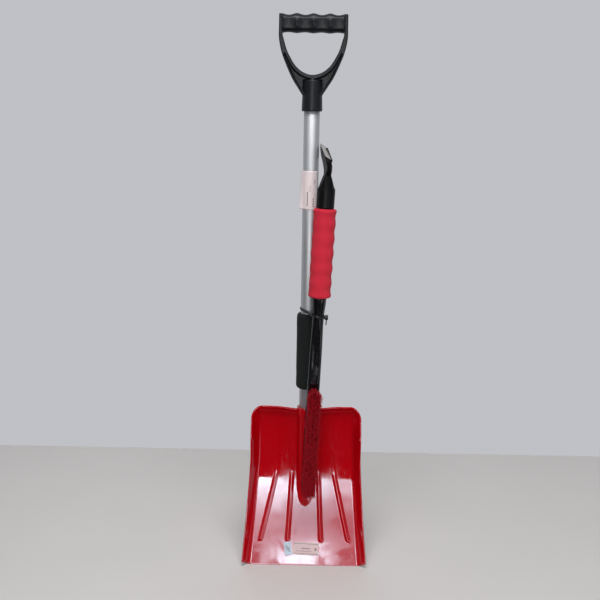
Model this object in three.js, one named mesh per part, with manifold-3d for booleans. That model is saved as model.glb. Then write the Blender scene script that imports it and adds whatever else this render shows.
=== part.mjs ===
// Snow shovel with a D-grip, and a snow brush with an ice scraper tied to its shaft by a cable tie.
// Millimetres. +Z runs up the shaft's axis, -Y is the front, which is the blade's hollow side, and
// the origin is the point under the middle of the D-grip's crossbar where the shovel hangs.
import * as THREE from 'three';
import { mergeVertices } from 'three/addons/utils/BufferGeometryUtils.js';
import Module from 'manifold-3d';

const wasm = await Module();
wasm.setup();

// ---------------------------------------------------------------- driving dimensions

const GAP = 0.3; // between pieces that touch

const TUBE = { radius: 15, wall: 1.2, top: -94, bottom: -900 };

const GRIP = {
  depth: 30, // front to back of the arms
  web: 5, // thickness of the arms' web between their flanges
  outerFlange: 3.2,
  innerFlange: 5.5,
  bar: { radius: 16.4, wave: 3.2, pitch: 30.3, half: 57.6 },
  socketTop: -77,
  socketTopRadius: 17.7,
  socketBottom: -140,
  socketBottomRadius: 19.6,
  screwZ: -120,
};
const GRIP_OUTER = [[62.6, 33], [62.6, -12], [57.5, -36], [48.5, -59], [38, -81], [27, -97], [19.3, -109]];
const GRIP_INNER = [[56.7, 33], [56.7, 0], [54, -12], [48.5, -30], [41.5, -44], [31.5, -59], [17.5, -70],
  [0, -74.5]];

const BLADE = {
  top: -735, // top edge at its middle
  shoulderRise: 6, // how much higher the top edge is near its corners
  tip: -1046,
  halfTop: 111.5,
  halfTip: 127,
  flareFrom: -835, // the sides run parallel above this and splay below it
  cornerRadius: 24,
  thickness: 3,
  backTop: 7, // pan surface behind the shaft's axis at the top
  reach: 82, // how far the pan comes forward between its top and its tip
  curve: 2.26,
  wallTop: 34,
  wallStart: 0.4, // the share of the side wall's depth at the top edge
  wallGrown: 70, // and how far down it is whole
  wallTip: 16,
  wallBand: 16,
  lip: 6,
  lipBand: 24,
  trimRise: 12, // how much the bottom corners are cut back
  trimBand: 22,
};
const SOCKET = { top: -728, topRadius: 19, radius: 18.2, endRadius: 16.4, end: -916, screws: [-765, -850] };
const RIB = { half: 6, height: 2.7, end: -1000 };
const RIBS = [
  { from: -760, straightTo: -850, start: 57, splay: 33 },
  { from: -825, straightTo: -850, start: 27, splay: 7 },
];

const SHAFT_FOAM = { radius: 22.2, top: -529.5, bottom: -686, round: 7 };
const LABEL = { top: -251, bottom: -323, thickness: 0.4, from: -38, to: 118 }; // angles from the front
const STICKER = { z: -1018, width: 54, height: 22, thickness: 0.4, tilt: 2 };
const PATCH = { width: 15, height: 24, tilt: -8 };

const SCREW = { headRadius: 4, headHeight: 2.4, shankRadius: 2, length: 9, pilot: 2.4 };

// The brush's own frame: its axis through BRUSH.origin, up the handle, bristles towards -Y.
const BRUSH = { origin: [29, -28, -300], end: [3, -36, -905], roll: 9 };
const HANDLE_TUBE = { radius: 8, wall: 1.5, top: 10, bottom: -212 };
const BRUSH_FOAM = { radius: 20.4, wave: 1.2, waves: 5, top: -17.3, bottom: -191, round: 5 };
const SCRAPER_BODY = { radius: 17, top: 17, bottom: -17 };
const SCRAPER_FRONT = [[-17, 16], [-5.5, 45], [-5.5, 62], [-5, 76], [-8.5, 101], [-6, 101], [0, 76], [4, 62],
  [5.5, 45], [17, 16]];
const SCRAPER_SIDE = [[-17, 16], [-13, 40], [-50, 64], [-50, 76], [50, 100], [50, 88], [13, 44], [17, 16]];
const NECK = 45; // the scraper is round below this
const TOOTH = { size: 3.2, count: 6, pitch: 7.5 };
const HEAD_SECTIONS = [ // height, half width, half depth
  [-191.5, 14.5, 13.5], [-204, 14, 12.6], [-216, 12.6, 11.6], [-227, 11.7, 11], [-240, 11.5, 10.6],
  [-270, 12, 10.2], [-300, 12.5, 10], [-380, 12.8, 9.8], [-590, 11.8, 9.4], [-606, 10.4, 8.6], [-612, 8, 7],
  [-614, 5, 4.4],
];
const HEAD_TURN = -5; // the bristle bar's turn on the handle tube, against the scraper
const BRISTLES = { face: 8.2, top: -371.5, bottom: -590, length: 42, width: 4.9, pitch: 5.4, rows: 4, arch: 5 };

const TIE = { width: 4.8, thickness: 1.3, slack: 1.4, waist: 11.7, tilt: 16, z: -521.6 };
const TIE_HEAD = { length: 8, width: 5.6, depth: 5, tail: 9 };

// ---------------------------------------------------------------- helpers

const radians = THREE.MathUtils.degToRad;
const clamp = THREE.MathUtils.clamp;
const smooth = THREE.MathUtils.smoothstep;

const MATERIALS = {
  bladeRed: { color: 0xa50008, roughness: 0.15, metalness: 0 },
  aluminium: { color: 0xc4c7cc, roughness: 0.35, metalness: 1 },
  gripBlack: { color: 0x1e1e21, roughness: 0.5, metalness: 0 },
  foamBlack: { color: 0x1b1e1e, roughness: 0.95, metalness: 0 },
  foamRed: { color: 0xd72d3c, roughness: 0.95, metalness: 0 },
  bristleRed: { color: 0x6e050f, roughness: 0.8, metalness: 0 },
  paper: { color: 0xf0e4e6, roughness: 0.7, metalness: 0 },
  patch: { color: 0xb9d6e6, roughness: 0.6, metalness: 0 },
  steel: { color: 0x9a9da2, roughness: 0.4, metalness: 1 },
};

// A closed mesh as a solid, turned to face out.
function solid(geometry) {
  const bare = geometry.clone();
  bare.deleteAttribute('normal');
  bare.deleteAttribute('uv');
  const merged = mergeVertices(bare, 1e-4);
  const corners = merged.attributes.position.array;
  const triangles = new Uint32Array(merged.index.array);
  if (signedVolume(corners, triangles) < 0) {
    for (let i = 0; i < triangles.length; i += 3) {
      [triangles[i], triangles[i + 1]] = [triangles[i + 1], triangles[i]];
    }
  }
  return new wasm.Manifold(new wasm.Mesh({ numProp: 3, vertProperties: corners, triVerts: triangles }));
}

function signedVolume(corners, triangles) {
  const at = (i) => new THREE.Vector3().fromArray(corners, 3 * i);
  let sum = 0;
  for (let i = 0; i < triangles.length; i += 3) {
    sum += at(triangles[i]).dot(at(triangles[i + 1]).cross(at(triangles[i + 2])));
  }
  return sum / 6;
}

function piece(name, shape, material) {
  const { vertProperties, triVerts } = shape.getMesh();
  const geometry = new THREE.BufferGeometry();
  geometry.setAttribute('position', new THREE.BufferAttribute(vertProperties, 3));
  geometry.setIndex(new THREE.BufferAttribute(triVerts, 1));
  const mesh = new THREE.Mesh(geometry, new THREE.MeshStandardMaterial(MATERIALS[material]));
  mesh.name = name;
  return mesh;
}

// Moves each corner of a geometry to where place puts it.
function warp(geometry, place) {
  const corners = geometry.attributes.position;
  const point = new THREE.Vector3();
  for (let i = 0; i < corners.count; i++) {
    point.fromBufferAttribute(corners, i);
    place(point);
    corners.setXYZ(i, point.x, point.y, point.z);
  }
  return geometry;
}

// Turns a profile of [radius, height] about Z.
function turned(profile, sides = 48) {
  const points = profile.map(([radius, height]) => new THREE.Vector2(radius, height));
  return solid(new THREE.LatheGeometry(points, sides).rotateX(Math.PI / 2));
}

function ring(inner, outer, low, high, sides) {
  return turned([[inner, low], [outer, low], [outer, high], [inner, high], [inner, low]], sides);
}

function rod(radius, low, high, sides = 48) {
  return turned([[0, low], [radius, low], [radius, high], [0, high]], sides);
}

function box(width, depth, height) {
  return solid(new THREE.BoxGeometry(width, depth, height));
}

// A solid through oval sections, each [height, half width, half depth].
function loft(sections, sides = 24) {
  const last = sections.length - 1;
  const round = new THREE.CylinderGeometry(1, 1, 1, sides, last).rotateX(Math.PI / 2);
  return solid(warp(round, (p) => {
    const [height, halfWidth, halfDepth] = sections[Math.round((0.5 - p.z) * last)];
    p.set(p.x * halfWidth, p.y * halfDepth, height);
  }));
}

// An outline in the XZ plane, given depth along Y about y = 0.
function plateXZ(shape, depth, curveSegments = 12) {
  const extruded = new THREE.ExtrudeGeometry(shape, { depth, bevelEnabled: false, curveSegments });
  return solid(extruded.rotateX(Math.PI / 2).translate(0, depth / 2, 0));
}

function outline(points) {
  return new THREE.Shape(points.map(([x, y]) => new THREE.Vector2(x, y)));
}

function spline(points) {
  return new THREE.SplineCurve(points.map(([x, y]) => new THREE.Vector2(x, y)));
}

// Points along a curve, moved sideways to its left by the distance.
function offsetPoints(curve, distance, from, to, count) {
  const points = [];
  for (let i = 0; i <= count; i++) {
    const t = from + (to - from) * (i / count);
    const along = curve.getTangentAt(t);
    const at = curve.getPointAt(t);
    points.push([at.x - along.y * distance, at.y + along.x * distance]);
  }
  return points;
}

const mirrored = (points) => points.map(([x, y]) => [-x, y]).reverse();

// The hole for a screw that enters from the back, along Y.
function screwHole(z) {
  return rod(SCREW.pilot, -2, 30, 12).rotate([-90, 0, 0]).translate([0, 0, z]);
}

// A round-headed screw seated on a back surface at y, pointing forward.
function screw(y) {
  const { headRadius, headHeight, shankRadius, length } = SCREW;
  const profile = [[0, -length], [shankRadius * 0.6, -length], [shankRadius, 2 - length], [shankRadius, 0],
    [headRadius, 0], [headRadius, headHeight * 0.4], [headRadius * 0.6, headHeight], [0, headHeight]];
  const slot = box(headRadius * 1.2, 0.9, 2).translate([0, 0, headHeight]);
  const cross = slot.rotate([0, 0, 90]);
  return turned(profile, 12).subtract(slot).subtract(cross).rotate([-90, 0, 0]).translate([0, y + GAP, 0]);
}

// ---------------------------------------------------------------- D-grip and shaft

function gripFrame() {
  const outer = spline(GRIP_OUTER).getPoints(18).map((p) => [p.x, p.y]);
  const inner = spline(GRIP_INNER).getPoints(21).map((p) => [p.x, p.y]);
  const left = mirrored(outer);
  const around = [...outer, ...left, ...mirrored(inner).reverse(), ...inner.slice(0, -1).reverse()];
  let frame = plateXZ(outline(around), GRIP.depth);
  const pocket = [
    ...offsetPoints(spline(GRIP_OUTER), -GRIP.outerFlange, 0.46, 1, 9),
    ...offsetPoints(spline(GRIP_INNER), GRIP.innerFlange, 0.46, 1, 9).reverse(),
  ];
  const depth = (GRIP.depth - GRIP.web) / 2;
  for (const points of [pocket, mirrored(pocket)]) {
    const cut = plateXZ(outline(points), depth + 1);
    const shift = (GRIP.web + depth + 1) / 2;
    frame = frame.subtract(cut.translate([0, shift, 0])).subtract(cut.translate([0, -shift, 0]));
  }
  return frame;
}

function gripBar() {
  const { radius, wave, pitch, half } = GRIP.bar;
  const steps = 28;
  const profile = [[0, -half]];
  for (let i = 0; i <= steps; i++) {
    const x = half * (2 * i / steps - 1);
    const hollow = (wave / 2) * (1 - Math.cos(2 * Math.PI * x / pitch));
    profile.push([radius - hollow, x]);
  }
  profile.push([0, half]);
  return turned(profile, 16).rotate([0, 90, 0]).translate([0, 0, radius]);
}

function dGrip() {
  const { socketTop, socketTopRadius, socketBottom, socketBottomRadius } = GRIP;
  const socket = turned([[0, socketBottom], [socketBottomRadius, socketBottom],
    [socketTopRadius, socketTop - 10], [socketTopRadius, socketTop], [0, socketTop]], 36);
  const bore = rod(TUBE.radius + GAP, socketBottom - 1, TUBE.top + GAP, 36);
  return gripFrame().add(gripBar()).add(socket).subtract(bore).subtract(screwHole(GRIP.screwZ));
}

function shaftTube() {
  let tube = ring(TUBE.radius - TUBE.wall, TUBE.radius, TUBE.bottom, TUBE.top, 36);
  for (const z of [GRIP.screwZ, ...SOCKET.screws]) {
    tube = tube.subtract(screwHole(z));
  }
  return tube;
}

function shaftFoam() {
  const { radius, top, bottom, round } = SHAFT_FOAM;
  const bore = TUBE.radius + GAP;
  const profile = [[bore, bottom]];
  const corner = [0, 30, 60, 90].map(radians);
  for (const a of corner) {
    profile.push([radius - round * (1 - Math.sin(a)), bottom + round * (1 - Math.cos(a))]);
  }
  for (const a of corner.reverse()) {
    profile.push([radius - round * (1 - Math.sin(a)), top - round * (1 - Math.cos(a))]);
  }
  profile.push([bore, top], [bore, bottom]);
  return turned(profile, 32);
}

// A stretch of thin sleeve on the shaft.
function shaftLabel() {
  const { top, bottom, thickness, from, to } = LABEL;
  const inner = TUBE.radius + GAP;
  const sheet = new THREE.BoxGeometry(1, 1, top - bottom, 12, 1, 1);
  return solid(warp(sheet, (p) => {
    const angle = radians(from + (to - from) * (0.5 - p.x));
    const radius = inner + thickness * (0.5 - p.y);
    p.set(-radius * Math.sin(angle), -radius * Math.cos(angle), p.z + (top + bottom) / 2);
  }));
}

// ---------------------------------------------------------------- blade

const bladeLength = BLADE.top - BLADE.tip;

function halfWidth(z) {
  const down = Math.max(0, (BLADE.flareFrom - z) / (BLADE.flareFrom - BLADE.tip));
  return BLADE.halfTop + (BLADE.halfTip - BLADE.halfTop) * Math.pow(down, 1.15);
}

// y of the blade's front surface at x, z.
function bladeSurface(x, z) {
  const down = clamp((BLADE.top - z) / bladeLength, 0, 1.1);
  const pan = BLADE.backTop - BLADE.reach * Math.pow(down, BLADE.curve);
  const fromSide = clamp((halfWidth(z) - Math.abs(x)) / BLADE.wallBand, 0, 1);
  const grown = BLADE.wallStart + (1 - BLADE.wallStart) * smooth(topEdge(x) - z, 0, BLADE.wallGrown);
  const wall = (BLADE.wallTop + (BLADE.wallTip - BLADE.wallTop) * down) * grown;
  const fromTop = clamp((topEdge(x) - z) / BLADE.lipBand, 0, 1);
  return pan - wall * Math.pow(1 - fromSide, 1.6) - BLADE.lip * Math.pow(1 - fromTop, 2);
}

function topEdge(x) {
  return BLADE.top + BLADE.shoulderRise * smooth(Math.abs(x), 0, 70);
}

function bottomEdge(x, z) {
  const inFromCorner = clamp((halfWidth(z) - Math.abs(x)) / BLADE.trimBand, 0, 1);
  return BLADE.tip - 3 + (BLADE.trimRise + 3) * Math.pow(1 - inFromCorner, 2);
}

// Steps behind the front surface along its normal.
function behindBlade(x, z, distance) {
  const step = 0.5;
  const slopeX = (bladeSurface(x + step, z) - bladeSurface(x - step, z)) / (2 * step);
  const slopeZ = (bladeSurface(x, z + step) - bladeSurface(x, z - step)) / (2 * step);
  const back = new THREE.Vector3(-slopeX, 1, -slopeZ).setLength(distance);
  return new THREE.Vector3(x, bladeSurface(x, z), z).add(back);
}

function bladeShell() {
  const rowsInCorner = 0.22;
  const wallColumns = 0.4;
  const sheet = new THREE.BoxGeometry(2, 1, 1, 28, 1, 24);
  return solid(warp(sheet, (p) => {
    const down = 0.5 - p.z;
    const straight = (down - rowsInCorner) / (1 - rowsInCorner);
    let drop = BLADE.cornerRadius + straight * (bladeLength - BLADE.cornerRadius);
    let half = halfWidth(BLADE.top - drop);
    if (down < rowsInCorner) {
      const turn = (down / rowsInCorner) * Math.PI / 2;
      drop = BLADE.cornerRadius * (1 - Math.cos(turn));
      half = BLADE.halfTop - BLADE.cornerRadius * (1 - Math.sin(turn));
    }
    const across = Math.abs(p.x);
    const flat = half - BLADE.wallBand - 4;
    const inWall = (across - 1 + wallColumns) / wallColumns;
    const reach = inWall > 0 ? flat + inWall * (half - flat) : flat * across / (1 - wallColumns);
    const x = Math.sign(p.x) * reach;
    const top = topEdge(x);
    const z = top - (drop / bladeLength) * (top - bottomEdge(x, BLADE.top - drop));
    p.copy(behindBlade(x, z, (p.y + 0.5) * BLADE.thickness));
  }));
}

function ribX(rib, z) {
  const down = Math.max(0, (rib.straightTo - z) / (rib.straightTo - RIB.end));
  return rib.start + rib.splay * Math.pow(down, 1.2);
}

function bladeRib(rib, side) {
  const round = new THREE.CylinderGeometry(1, 1, 1, 8, 8).rotateX(Math.PI / 2);
  return solid(warp(round, (p) => {
    const z = rib.from + (0.5 - p.z) * (RIB.end - rib.from);
    const x = side * ribX(rib, z) + RIB.half * p.x;
    const height = RIB.height * (0.2 + 0.8 * smooth(rib.from - z, 0, 60));
    p.set(x, bladeSurface(x, z) + height * p.y, z);
  }));
}

function blade() {
  const { top, topRadius, radius, endRadius, end } = SOCKET;
  const socket = turned([[0, end], [endRadius - 4, end], [endRadius, end + 5], [radius, -850],
    [radius, top - 12], [topRadius, top - 8], [topRadius, top], [0, top]], 36);
  const flatTip = box(400, 400, 500).translate([0, 0, BLADE.tip + 250]);
  let shape = bladeShell().add(socket);
  for (const rib of RIBS) {
    shape = shape.add(bladeRib(rib, 1)).add(bladeRib(rib, -1));
  }
  shape = shape.intersect(flatTip).subtract(rod(TUBE.radius + GAP, TUBE.bottom - GAP, top + 1, 36));
  for (const z of SOCKET.screws) {
    shape = shape.subtract(screwHole(z));
  }
  return shape;
}

// A thin sheet laid on the blade, tilted in its own plane, its middle at x, z.
function sticker(width, height, x, z, tilt) {
  const turn = radians(tilt);
  const sheet = new THREE.BoxGeometry(width, 1, height, 3, 1, 3);
  return solid(warp(sheet, (p) => {
    const alongX = x + p.x * Math.cos(turn) + p.z * Math.sin(turn);
    const alongZ = z - p.x * Math.sin(turn) + p.z * Math.cos(turn);
    p.copy(behindBlade(alongX, alongZ, -GAP - STICKER.thickness * (0.5 - p.y)));
  }));
}

// ---------------------------------------------------------------- brush and scraper, in the brush's frame

function scraperHead() {
  const front = plateXZ(outline(SCRAPER_FRONT), 120);
  const side = plateXZ(outline(SCRAPER_SIDE), 60).rotate([0, 0, 90]);
  const body = rod(SCRAPER_BODY.radius, SCRAPER_BODY.bottom, SCRAPER_BODY.top, 32);
  const bore = rod(HANDLE_TUBE.radius + GAP, SCRAPER_BODY.bottom - 1, HANDLE_TUBE.top + GAP, 32);
  const shoulder = rod(SCRAPER_BODY.radius, 0, NECK, 32).add(box(120, 120, 100).translate([0, 0, NECK + 50]));
  let head = front.intersect(side).intersect(shoulder).add(body);
  for (let i = 0; i < TOOTH.count; i++) {
    const y = -46 + i * TOOTH.pitch;
    const edge = 76 + (y + 50) * 0.24;
    head = head.add(box(TOOTH.size, TOOTH.size, TOOTH.size).translate([-1.6, y, edge - 3]));
  }
  return head.subtract(bore).subtract(screwHole(0));
}

function brushFoam() {
  const { radius, wave, waves, top, bottom, round } = BRUSH_FOAM;
  const steps = 26;
  const bore = HANDLE_TUBE.radius + GAP;
  const profile = [[bore, bottom]];
  for (let i = 0; i <= steps; i++) {
    const t = i / steps;
    const z = bottom + t * (top - bottom);
    const fromEnd = Math.min(z - bottom, top - z, round) / round;
    const shoulder = round * (1 - Math.sqrt(1 - (1 - fromEnd) ** 2));
    profile.push([radius - wave * (0.5 + 0.5 * Math.cos(2 * Math.PI * waves * t + Math.PI)) - shoulder, z]);
  }
  profile.push([bore, top], [bore, bottom]);
  return turned(profile, 24);
}

function brushHead() {
  const { face, top, bottom } = BRISTLES;
  const clear = box(60, 20, top - bottom + 4).translate([0, -face - 10, (top + bottom) / 2]);
  const bore = rod(HANDLE_TUBE.radius + GAP, HANDLE_TUBE.bottom - GAP, 0, 32);
  return loft(HEAD_SECTIONS).subtract(clear).subtract(bore);
}

function bristleRow(index) {
  const { face, top, bottom, length, width, pitch, rows, arch } = BRISTLES;
  const x = (index - (rows - 1) / 2) * pitch;
  const rowTop = top - (Math.abs(x) > pitch ? arch : 0);
  const row = box(width, length, rowTop - bottom);
  return row.translate([x, -face - GAP - length / 2, (rowTop + bottom) / 2]);
}

// ---------------------------------------------------------------- cable tie

// The outline of a band round two circles, the second at a distance along X.
function band(first, second, distance) {
  const lean = Math.acos((first - second) / distance);
  const shape = new THREE.Shape();
  shape.absarc(0, 0, first, lean, 2 * Math.PI - lean, false);
  shape.absarc(distance, 0, second, -lean, lean, false);
  return shape;
}

function cableTie() {
  const tilt = radians(TIE.tilt);
  const along = (TIE.z - BRUSH.origin[2]) / (BRUSH.end[2] - BRUSH.origin[2]);
  const waistX = THREE.MathUtils.lerp(BRUSH.origin[0], BRUSH.end[0], along) / Math.cos(tilt);
  const waistY = THREE.MathUtils.lerp(BRUSH.origin[1], BRUSH.end[1], along);
  const distance = Math.hypot(waistX, waistY);
  const turn = THREE.MathUtils.radToDeg(Math.atan2(waistY, waistX));
  const inner = [TUBE.radius + TIE.slack, TIE.waist + TIE.slack];
  const loop = band(inner[0] + TIE.thickness, inner[1] + TIE.thickness, distance);
  loop.holes.push(band(...inner, distance));
  const strap = new THREE.ExtrudeGeometry(loop, { depth: TIE.width, bevelEnabled: false, curveSegments: 12 });
  const head = box(TIE_HEAD.depth, TIE_HEAD.width, TIE_HEAD.length);
  const tail = box(TIE.thickness, TIE.width, TIE_HEAD.tail).translate([0.6, 0, -TIE_HEAD.length]);
  const reach = inner[1] + TIE.thickness + TIE_HEAD.depth / 2 - 0.4;
  const lock = head.add(tail).translate([reach, 0, 0]).rotate([0, 0, -turn]).translate([distance, 0, 0]);
  const tie = solid(strap.translate(0, 0, -TIE.width / 2)).add(lock);
  return tie.rotate([0, 0, turn]).rotate([0, TIE.tilt, 0]).translate([0, 0, TIE.z]);
}

// ---------------------------------------------------------------- assembly

const shovel = new THREE.Group();
shovel.add(
  piece('blade', blade(), 'bladeRed'),
  piece('shaft_tube', shaftTube(), 'aluminium'),
  piece('d_grip', dGrip(), 'gripBlack'),
  piece('shaft_foam_grip', shaftFoam(), 'foamBlack'),
  piece('shaft_label', shaftLabel(), 'paper'),
  piece('blade_sticker', sticker(STICKER.width, STICKER.height, 4, STICKER.z, STICKER.tilt), 'paper'),
  piece('blade_sticker_patch', sticker(PATCH.width, PATCH.height, -33, STICKER.z, PATCH.tilt), 'patch'),
);

const screwSeats = {
  d_grip_screw: [GRIP.screwZ, 19],
  blade_screw_upper: [SOCKET.screws[0], SOCKET.radius],
  blade_screw_lower: [SOCKET.screws[1], SOCKET.radius],
};
for (const [name, [z, seat]] of Object.entries(screwSeats)) {
  const mesh = piece(name, screw(seat), 'steel');
  mesh.position.z = z;
  shovel.add(mesh);
}

const brush = new THREE.Group();
brush.add(
  piece('scraper_head', scraperHead(), 'gripBlack'),
  piece('scraper_screw', screw(SCRAPER_BODY.radius), 'steel'),
  piece('brush_handle_tube', ring(HANDLE_TUBE.radius - HANDLE_TUBE.wall, HANDLE_TUBE.radius,
    HANDLE_TUBE.bottom, HANDLE_TUBE.top, 32).subtract(screwHole(0)), 'aluminium'),
  piece('brush_foam_grip', brushFoam(), 'foamRed'),
  piece('brush_head', brushHead(), 'gripBlack'),
);
for (let i = 0; i < BRISTLES.rows; i++) {
  brush.add(piece(`bristle_row_${i + 1}`, bristleRow(i), 'bristleRed'));
}
for (const mesh of brush.children.filter((child) => /brush_head|bristle_row/.test(child.name))) {
  mesh.rotation.z = radians(HEAD_TURN);
}
const axis = new THREE.Vector3(...BRUSH.origin).sub(new THREE.Vector3(...BRUSH.end)).normalize();
brush.position.set(...BRUSH.origin);
brush.quaternion.setFromUnitVectors(new THREE.Vector3(0, 0, 1), axis);
brush.rotateZ(radians(BRUSH.roll));

const assembly = new THREE.Group();
assembly.add(shovel, piece('cable_tie', cableTie(), 'gripBlack'), brush);

export default assembly;
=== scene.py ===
"""Looks for a snow shovel with a brush and ice scraper tied to its shaft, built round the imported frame.

Shapes are worked out in millimetres in the frame's axes (+Z up the shaft, -Y the front, origin where the
D-grip hangs) and written to Blender in metres. The brush's pieces are worked out in the brush's own frame.
"""

import math
import random

import bmesh
import bpy
import numpy as np
from mathutils import Matrix, Vector, noise


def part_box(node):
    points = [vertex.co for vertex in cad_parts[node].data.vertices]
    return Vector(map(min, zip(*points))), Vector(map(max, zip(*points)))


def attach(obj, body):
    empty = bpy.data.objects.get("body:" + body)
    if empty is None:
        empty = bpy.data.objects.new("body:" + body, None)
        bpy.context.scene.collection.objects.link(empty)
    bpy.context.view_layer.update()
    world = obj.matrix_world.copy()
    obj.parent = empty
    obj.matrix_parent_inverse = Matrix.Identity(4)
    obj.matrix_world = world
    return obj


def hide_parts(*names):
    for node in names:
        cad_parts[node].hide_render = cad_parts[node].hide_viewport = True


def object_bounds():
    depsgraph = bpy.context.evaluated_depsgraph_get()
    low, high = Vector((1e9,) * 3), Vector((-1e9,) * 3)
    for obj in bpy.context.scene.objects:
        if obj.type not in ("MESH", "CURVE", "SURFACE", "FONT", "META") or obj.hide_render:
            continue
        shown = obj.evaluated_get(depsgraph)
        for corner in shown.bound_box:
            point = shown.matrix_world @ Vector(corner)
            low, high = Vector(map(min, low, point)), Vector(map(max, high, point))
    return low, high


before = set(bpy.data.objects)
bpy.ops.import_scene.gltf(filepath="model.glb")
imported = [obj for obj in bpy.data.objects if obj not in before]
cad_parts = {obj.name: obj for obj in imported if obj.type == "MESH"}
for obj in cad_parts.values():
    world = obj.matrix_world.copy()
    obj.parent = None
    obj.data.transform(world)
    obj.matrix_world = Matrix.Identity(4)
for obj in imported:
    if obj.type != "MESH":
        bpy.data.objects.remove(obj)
CAD_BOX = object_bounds()
MM = 0.001
random.seed(7)
TAU = 2 * math.pi


def height_span(node):
    """The lowest and highest z of a CAD node, in millimetres."""
    low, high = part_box(node)
    return low.z / MM, high.z / MM


# ------------------------------------------------------------------ mesh helpers


def add_object(name, points, faces, place=None):
    """A mesh object from points in millimetres, its faces turned to face out."""
    points = np.asarray(points, float)
    if place is not None:
        points = points @ np.array(place)[:3, :3].T + np.array(place)[:3, 3]
    mesh = bpy.data.meshes.new(name)
    mesh.from_pydata((points * MM).tolist(), [], faces)
    work = bmesh.new()
    work.from_mesh(mesh)
    bmesh.ops.recalc_face_normals(work, faces=work.faces)
    work.to_mesh(mesh)
    work.free()
    mesh.shade_smooth()
    obj = bpy.data.objects.new(name, mesh)
    bpy.context.scene.collection.objects.link(obj)
    return obj


def combine(*parts):
    """Several (points, faces) as one."""
    points, faces, start = [], [], 0
    for part_points, part_faces in parts:
        points.extend(np.asarray(part_points, float).tolist())
        faces.extend([[i + start for i in face] for face in part_faces])
        start += len(part_points)
    return points, faces


def skin(rings, closed_path=False):
    """Faces over rings of points that all run the same way. The ends are capped unless the rings close up."""
    count = len(rings[0])
    points = [point for ring in rings for point in ring]
    faces = []
    spans = len(rings) if closed_path else len(rings) - 1
    for i in range(spans):
        here, there = i * count, ((i + 1) % len(rings)) * count
        for j in range(count):
            k = (j + 1) % count
            faces.append([here + j, here + k, there + k, there + j])
    if not closed_path:
        faces.append(list(range(count)))
        faces.append(list(range(len(points) - count, len(points))))
    return points, faces


def turned(profile, sides=96, closed=False):
    """A profile of (radius, height) turned about Z. A closed profile makes a ring."""
    rings = []
    for radius, height in profile:
        turns = [TAU * j / sides for j in range(sides)]
        rings.append([(radius * math.cos(a), radius * math.sin(a), height) for a in turns])
    return skin(rings, closed_path=closed)


def rounded_profile(inner, outer, low, high, radius, steps=6, rows=1):
    """The closed profile of a ring whose outer edges are round, with its side split into rows."""
    turns = [math.pi / 2 * i / steps for i in range(steps + 1)]
    arc = [(outer - radius * (1 - math.sin(a)), radius * (1 - math.cos(a))) for a in turns]
    side = [(outer, low + radius + (high - low - 2 * radius) * i / rows) for i in range(1, rows)]
    return ([(inner, low)] + [(r, low + up) for r, up in arc] + side
            + [(r, high - down) for r, down in reversed(arc)] + [(inner, high)])


def prism(outline, low, high):
    """An outline of (x, z) given depth along Y."""
    return skin([[(x, low, z) for x, z in outline], [(x, high, z) for x, z in outline]])


def block(centre, size):
    """A box."""
    half = [s / 2 for s in size]
    corners = [(-1, -1), (1, -1), (1, 1), (-1, 1)]
    rings = []
    for end in (-1, 1):
        rings.append([(centre[0] + a * half[0], centre[1] + b * half[1], centre[2] + end * half[2])
                      for a, b in corners])
    return skin(rings)


def smooth(x, low, high):
    """0 below low, 1 above high and an eased step between them."""
    t = np.clip((x - low) / (high - low), 0, 1)
    return t * t * (3 - 2 * t)


def curve_points(points, count):
    """A smooth line (Catmull-Rom) through 2-D points, evenly spaced in its parameter."""
    p = np.array(points, float)
    p = np.vstack([2 * p[0] - p[1], p, 2 * p[-1] - p[-2]])
    out = []
    for i in range(count + 1):
        t = i / count * (len(points) - 1)
        k = min(int(t), len(points) - 2)
        f = t - k
        a, b, c, d = p[k:k + 4]
        out.append(0.5 * (2 * b + (c - a) * f + (2 * a - 5 * b + 4 * c - d) * f**2
                          + (3 * b - a - 3 * c + d) * f**3))
    return np.array(out)


def offset(line, distance):
    """A 2-D line moved sideways to its left."""
    along = np.gradient(line, axis=0)
    along /= np.linalg.norm(along, axis=1)[:, None]
    return line + distance * np.column_stack([-along[:, 1], along[:, 0]])


def apply_modifiers(obj):
    """Makes what the modifiers show the object's own mesh."""
    graph = bpy.context.evaluated_depsgraph_get()
    done = bpy.data.meshes.new_from_object(obj.evaluated_get(graph))
    obj.modifiers.clear()
    obj.data = done
    done.shade_smooth()
    return obj


def fuse(obj, voxel, rounds, strength=0.5):
    """Joins overlapping solids into one moulded skin with softened edges."""
    remesh = obj.modifiers.new("fuse", "REMESH")
    remesh.mode = "VOXEL"
    remesh.voxel_size = voxel * MM
    soften = obj.modifiers.new("soften", "SMOOTH")
    soften.iterations = rounds
    soften.factor = strength
    return apply_modifiers(obj)


def boolean(obj, operation, shape, place):
    """Combines the object with a closed shape, which is used up."""
    tool = add_object("tool", *shape, place=place)
    modifier = obj.modifiers.new("boolean", "BOOLEAN")
    modifier.operation = operation
    modifier.solver = "MANIFOLD"
    modifier.object = tool
    apply_modifiers(obj)
    bpy.data.objects.remove(tool)
    return obj


def cut(obj, shape, place=None):
    """Takes a closed shape out of the object."""
    return boolean(obj, "DIFFERENCE", shape, place)


def join(obj, shape, place=None):
    """Joins a closed shape to the object."""
    return boolean(obj, "UNION", shape, place)


def settle(obj, material, body, slot, *nodes):
    """Gives a piece its material and its body, and hides the CAD nodes that it stands for. The slot is not
    used.
    """
    obj.data.materials.clear()
    obj.data.materials.append(material)
    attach(obj, body)
    if nodes:
        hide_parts(*nodes)
    return obj


# ------------------------------------------------------------------ materials


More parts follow.
